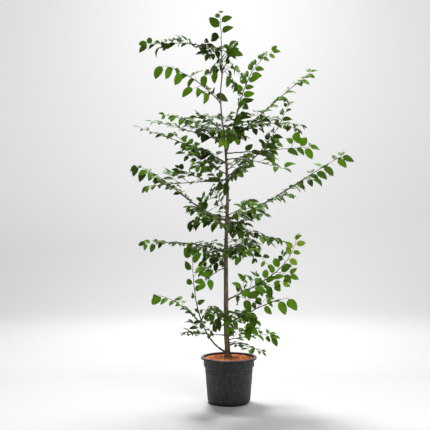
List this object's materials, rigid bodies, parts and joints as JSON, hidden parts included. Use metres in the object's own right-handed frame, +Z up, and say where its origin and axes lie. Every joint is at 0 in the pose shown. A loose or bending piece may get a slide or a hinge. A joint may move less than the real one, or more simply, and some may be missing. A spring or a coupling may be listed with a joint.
{
  "type": "potted european hornbeam tree",
  "caption": "Young hornbeam tree with an open, leafy crown on one slim trunk, standing in a round nursery pot filled with potting mix.",
  "frame": {"origin": "middle of the flat underside of the pot", "axes": "+Z up along the tree's height, +X to the right and +Y to the back of the side that the tree shows"},
  "size_m": [1.1754, 0.7859, 1.9871],
  "materials": {
    "foliage": "satin",
    "bough_bark": "matte",
    "trunk_bark": "matte",
    "pot_plastic": "matte",
    "potting_mix": "matte"
  },
  "bodies": {
    "root": {"bough_left_1": "bough_bark", "bough_left_12": "bough_bark", "bough_left_13": "bough_bark", "bough_left_15": "bough_bark", "bough_left_7": "bough_bark", "bough_left_9": "bough_bark", "bough_right_11": "bough_bark", "bough_right_14": "bough_bark", "bough_right_15": "bough_bark", "bough_right_3": "bough_bark", "bough_right_4": "bough_bark", "bough_right_9": "bough_bark", "foliage_back_1": "foliage", "foliage_back_2": "foliage", "foliage_back_3": "foliage", "foliage_back_4": "foliage", "foliage_back_5": "foliage", "foliage_back_6": "foliage", "foliage_front_1": "foliage", "foliage_front_2": "foliage", "foliage_front_3": "foliage", "foliage_front_4": "foliage", "foliage_leader": "foliage", "foliage_left_1": "foliage", "foliage_left_10": "foliage", "foliage_left_11": "foliage", "foliage_left_12": "foliage", "foliage_left_13": "foliage", "foliage_left_14": "foliage", "foliage_left_15": "foliage", "foliage_left_16": "foliage", "foliage_left_2": "foliage", "foliage_left_3": "foliage", "foliage_left_4": "foliage", "foliage_left_5": "foliage", "foliage_left_6": "foliage", "foliage_left_7": "foliage", "foliage_left_8": "foliage", "foliage_left_9": "foliage", "foliage_right_1": "foliage", "foliage_right_10": "foliage", "foliage_right_11": "foliage", "foliage_right_12": "foliage", "foliage_right_13": "foliage", "foliage_right_14": "foliage", "foliage_right_15": "foliage", "foliage_right_16": "foliage", "foliage_right_17": "foliage", "foliage_right_2": "foliage", "foliage_right_3": "foliage", "foliage_right_4": "foliage", "foliage_right_5": "foliage", "foliage_right_6": "foliage", "foliage_right_7": "foliage", "foliage_right_8": "foliage", "foliage_right_9": "foliage", "pot": "pot_plastic", "substrate": "potting_mix", "trunk": "trunk_bark"}
  },
  "joints": []
}
